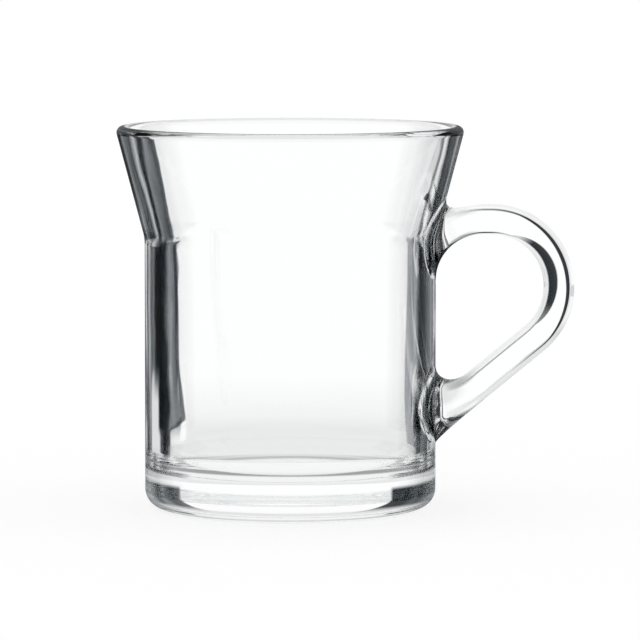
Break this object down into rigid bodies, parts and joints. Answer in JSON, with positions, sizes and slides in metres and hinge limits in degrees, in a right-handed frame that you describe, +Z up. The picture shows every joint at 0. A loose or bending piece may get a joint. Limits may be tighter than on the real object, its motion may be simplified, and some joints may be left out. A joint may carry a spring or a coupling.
{
  "type": "glass mug",
  "caption": "Clear glass latte mug: straight-sided bowl with a flared mouth, rounded rim, thick base and a D-shaped bar handle welded to the wall at both ends.",
  "frame": {"origin": "centre of the foot on the bowl's axis, in the plane that the mug stands on; the recess under the base lies 0.6 mm above it", "axes": "+Z up along the bowl's axis, +X out along the handle, +Y to the left of the handle as seen from above with the handle pointing away"},
  "size_m": [0.1138, 0.0862, 0.095],
  "materials": {
    "bowl_glass": "clear, polished, pressed",
    "handle_glass": "clear, polished, hot-drawn"
  },
  "bodies": {
    "root": {"glass_body": "bowl_glass", "handle": "handle_glass"}
  },
  "joints": []
}
